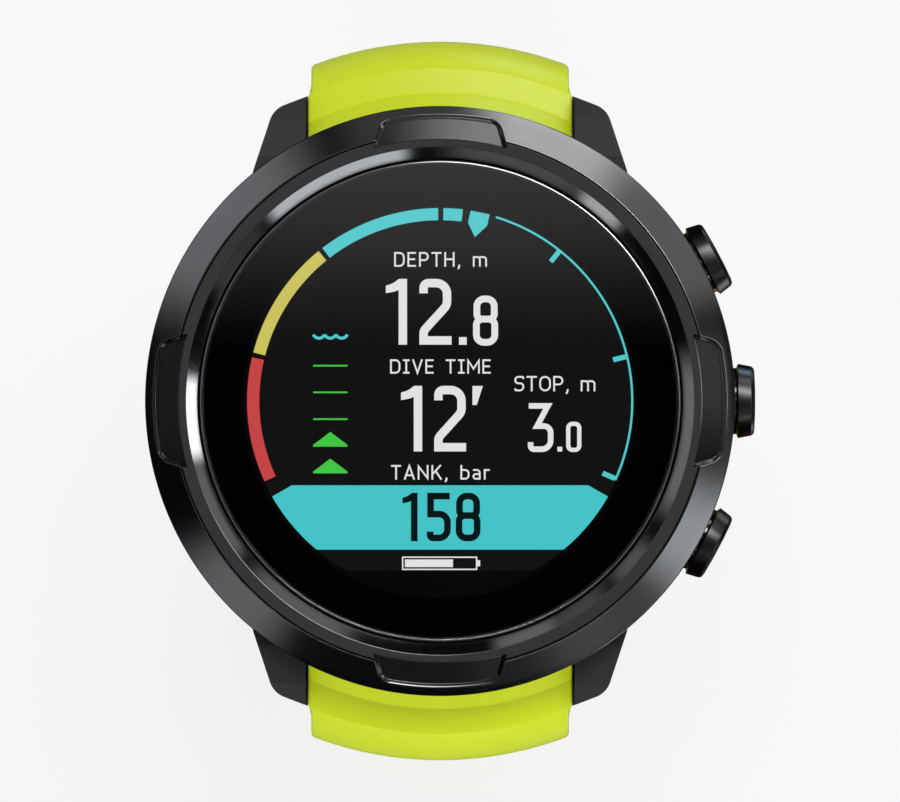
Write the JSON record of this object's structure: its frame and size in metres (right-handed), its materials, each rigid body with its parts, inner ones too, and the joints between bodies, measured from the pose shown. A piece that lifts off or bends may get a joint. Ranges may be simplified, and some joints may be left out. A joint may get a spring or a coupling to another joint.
{
  "type": "dive computer",
  "caption": "Round wrist dive computer: notched metal bezel over a flat glass display, side push buttons, lugs, and an unfastened rubber strap with pin buckle and keepers.",
  "frame": {"origin": "centre of the flat wrist face of the caseback", "axes": "+Z out of the display, +Y to 12 o'clock, +X to 3 o'clock where the push buttons are"},
  "size_m": [0.0548, 0.0648, 0.0681],
  "materials": {
    "case_polymer": "fine matte moulded",
    "bezel_steel": "dark coated, polished facet and satin flat",
    "window_glass": "flat polished",
    "seal_rubber": "matte",
    "back_steel": "satin",
    "fastener_steel": "bright",
    "contact_gold": "polished",
    "display_face": "glossy black",
    "light_guide": "clear white",
    "flex_film": "satin",
    "chassis_plastic": "matte",
    "circuit_board": "solder mask",
    "cell_case": "satin",
    "button_steel": "polished dark",
    "strap_rubber": "soft matte silicone",
    "buckle_steel": "satin"
  },
  "bodies": {
    "case": {"case_body": "case_polymer", "bezel": "bezel_steel", "bezel_gasket": "seal_rubber", "bezel_screws": "fastener_steel", "lens": "window_glass", "lens_gasket": "seal_rubber", "caseback": "back_steel", "caseback_gasket": "seal_rubber", "caseback_screws": "fastener_steel", "charging_contacts": "contact_gold", "pressure_sensor": "back_steel", "sensor_o_ring": "seal_rubber", "sensor_cover": "back_steel", "display_panel": "display_face", "display_backlight": "light_guide", "display_flex": "flex_film", "chassis": "chassis_plastic", "main_board": "circuit_board", "board_chips": "chassis_plastic", "board_screws": "fastener_steel", "battery": "cell_case", "antenna": "flex_film", "vibration_motor": "fastener_steel", "buzzer": "contact_gold", "button_spring_upper": "fastener_steel", "button_spring_middle": "fastener_steel", "button_spring_lower": "fastener_steel", "button_tube_upper": "fastener_steel", "button_tube_middle": "fastener_steel", "button_tube_lower": "fastener_steel", "button_switch_upper": "chassis_plastic", "button_switch_middle": "chassis_plastic", "button_switch_lower": "chassis_plastic"},
    "button_upper": {"button_upper": "button_steel", "button_seals_upper": "seal_rubber", "button_clip_upper": "fastener_steel"},
    "button_middle": {"button_middle": "button_steel", "button_seals_middle": "seal_rubber", "button_clip_middle": "fastener_steel"},
    "button_lower": {"button_lower": "button_steel", "button_seals_lower": "seal_rubber", "button_clip_lower": "fastener_steel"},
    "motor_rotor": {"motor_weight": "fastener_steel"},
    "strap_short": {"strap_short": "strap_rubber", "lug_bar_short": "fastener_steel", "release_spring_short": "fastener_steel", "buckle_bar": "fastener_steel", "keeper_fixed": "strap_rubber"},
    "release_short": {"release_pin_short": "fastener_steel"},
    "keeper_free": {"keeper_free": "strap_rubber"},
    "buckle": {"buckle_frame": "buckle_steel"},
    "tongue": {"buckle_tongue": "buckle_steel"},
    "strap_long": {"strap_long": "strap_rubber", "lug_bar_long": "fastener_steel", "release_spring_long": "fastener_steel"},
    "release_long": {"release_pin_long": "fastener_steel"}
  },
  "joints": [
    {"name": "button_upper_press", "type": "slide", "parent": "case", "child": "button_upper", "axis": [-0.8829, -0.4695, 0], "range_m": [0, 0.001], "stiffness_N_per_m": 800, "springref_m": -0.001, "deforming": ["button_spring_upper"]},
    {"name": "button_middle_press", "type": "slide", "parent": "case", "child": "button_middle", "axis": [-1, 0, 0], "range_m": [0, 0.001], "stiffness_N_per_m": 800, "springref_m": -0.001, "deforming": ["button_spring_middle"]},
    {"name": "button_lower_press", "type": "slide", "parent": "case", "child": "button_lower", "axis": [-0.8829, 0.4695, 0], "range_m": [0, 0.001], "stiffness_N_per_m": 800, "springref_m": -0.001, "deforming": ["button_spring_lower"]},
    {"name": "motor_spin", "type": "hinge", "parent": "case", "child": "motor_rotor", "pos_m": [0.001, -0.0083, 0.00835], "axis": [1, 0, 0], "continuous": true},
    {"name": "strap_short_pivot", "type": "hinge", "parent": "case", "child": "strap_short", "pos_m": [0, 0.025, 0.0042], "axis": [1, 0, 0], "range_deg": [-8, 75]},
    {"name": "release_short_slide", "type": "slide", "parent": "strap_short", "child": "release_short", "axis": [-1, 0, 0], "range_m": [0, 0.0012], "stiffness_N_per_m": 300, "springref_m": -0.002, "deforming": ["release_spring_short"]},
    {"name": "keeper_slide", "type": "hinge", "parent": "strap_short", "child": "keeper_free", "pos_m": [0, 0.0096, -0.007], "axis": [1, 0, 0], "range_deg": [-20, 20]},
    {"name": "buckle_pivot", "type": "hinge", "parent": "strap_short", "child": "buckle", "pos_m": [0, -0.00468, -0.01959], "axis": [1, 0, 0], "range_deg": [-40, 40]},
    {"name": "tongue_pivot", "type": "hinge", "parent": "buckle", "child": "tongue", "pos_m": [0, -0.00468, -0.01959], "axis": [1, 0, 0], "range_deg": [0, 80]},
    {"name": "strap_long_pivot", "type": "hinge", "parent": "case", "child": "strap_long", "pos_m": [0, -0.025, 0.0042], "axis": [-1, 0, 0], "range_deg": [-5, 75]},
    {"name": "release_long_slide", "type": "slide", "parent": "strap_long", "child": "release_long", "axis": [-1, 0, 0], "range_m": [0, 0.0012], "stiffness_N_per_m": 300, "springref_m": -0.002, "deforming": ["release_spring_long"]}
  ]
}
